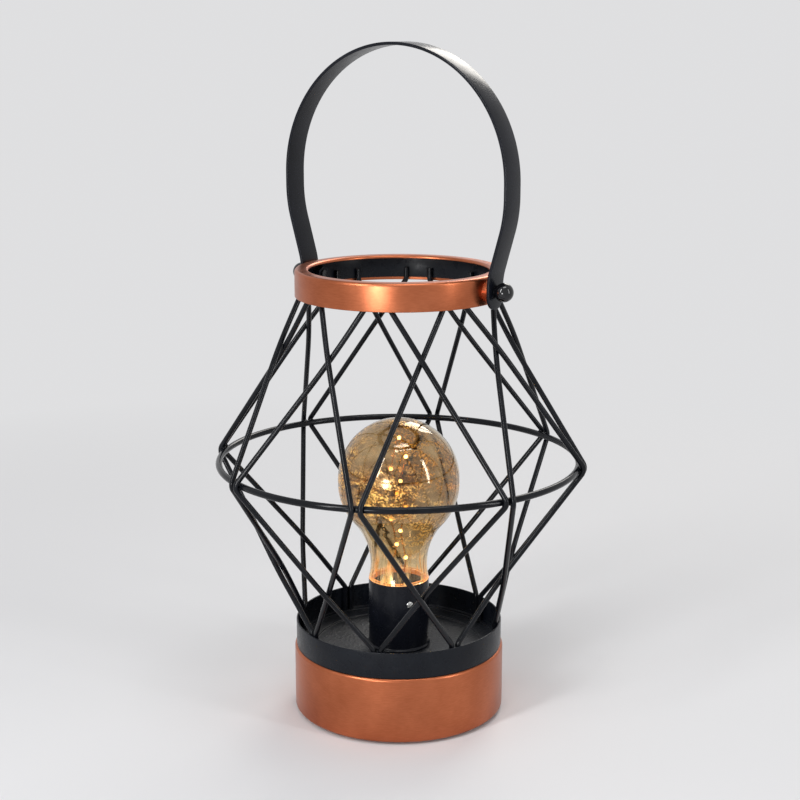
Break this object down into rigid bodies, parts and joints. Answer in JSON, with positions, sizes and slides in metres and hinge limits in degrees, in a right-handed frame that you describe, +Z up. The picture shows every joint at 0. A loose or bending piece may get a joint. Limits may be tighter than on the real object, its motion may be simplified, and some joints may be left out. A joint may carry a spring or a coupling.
{
  "type": "lantern table lamp",
  "caption": "Battery lantern table lamp: copper drum base, black wire cage with a waist ring, copper neck ring, swinging strap handle and an amber globe bulb on a black socket",
  "frame": {"origin": "centre of the footprint on the table plane, under the lamp's axis", "axes": "+Z up; +X to the right-hand handle pivot; front faces -Y"},
  "size_m": [0.1792, 0.1792, 0.3285],
  "materials": {
    "black_steel": "satin black paint",
    "copper_satin": "satin copper plating",
    "tray_black": "satin black paint with a fine texture",
    "zinc_steel": "bright zinc",
    "amber_glass": "amber, thinly mirrored",
    "black_plastic": "matte moulded",
    "grey_plastic": "matte moulded",
    "knob_plastic": "matte moulded",
    "foot_rubber": "matte",
    "cell_sleeve": "satin sleeve without print",
    "contact_metal": "nickel plated",
    "board": "solder mask",
    "chip": "moulded",
    "wire_sleeve": "wire insulation",
    "copper_wire": "bare",
    "led_glow": "lit, clear drop"
  },
  "bodies": {
    "base": {"base_cover": "black_plastic", "base_drum": "copper_satin", "battery_box": "grey_plastic", "board_parts": "chip", "board_screws": "zinc_steel", "bulb_glass": "amber_glass", "bulb_plug": "black_plastic", "cell_1": "cell_sleeve", "cell_2": "cell_sleeve", "cell_3": "cell_sleeve", "circuit_board": "board", "contact_plates": "contact_metal", "contact_springs": "contact_metal", "cover_screws": "zinc_steel", "feet": "foot_rubber", "lead_wires": "wire_sleeve", "led_beads": "led_glow", "led_wire": "copper_wire", "neck_liner": "black_steel", "neck_trim": "copper_satin", "nipple_nuts": "zinc_steel", "pivot_bolts": "black_steel", "pivot_nuts": "black_steel", "pivot_spacers": "copper_satin", "posts": "zinc_steel", "rod_1_left": "black_steel", "rod_1_right": "black_steel", "rod_2_left": "black_steel", "rod_2_right": "black_steel", "rod_3_left": "black_steel", "rod_3_right": "black_steel", "rod_4_left": "black_steel", "rod_4_right": "black_steel", "rod_5_left": "black_steel", "rod_5_right": "black_steel", "rod_6_left": "black_steel", "rod_6_right": "black_steel", "rod_7_left": "black_steel", "rod_7_right": "black_steel", "rod_8_left": "black_steel", "rod_8_right": "black_steel", "socket_cup": "black_steel", "socket_nipple": "zinc_steel", "socket_screw": "zinc_steel", "switch_housing": "grey_plastic", "switch_wires": "wire_sleeve", "tray": "tray_black", "waist_ring": "black_steel"},
    "handle": {"handle_strap": "black_steel"},
    "door": {"battery_door": "black_plastic"},
    "switch": {"switch_knob": "knob_plastic"}
  },
  "joints": [
    {"name": "handle_swing", "type": "hinge", "parent": "base", "child": "handle", "pos_m": [0, 0, 0.216], "axis": [1, 0, 0], "range_deg": [-125, 125]},
    {"name": "door_slide", "type": "slide", "parent": "base", "child": "door", "axis": [0, 1, 0], "range_m": [0, 0.005]},
    {"name": "switch_slide", "type": "slide", "parent": "base", "child": "switch", "axis": [1, 0, 0], "range_m": [0, 0.004]}
  ]
}
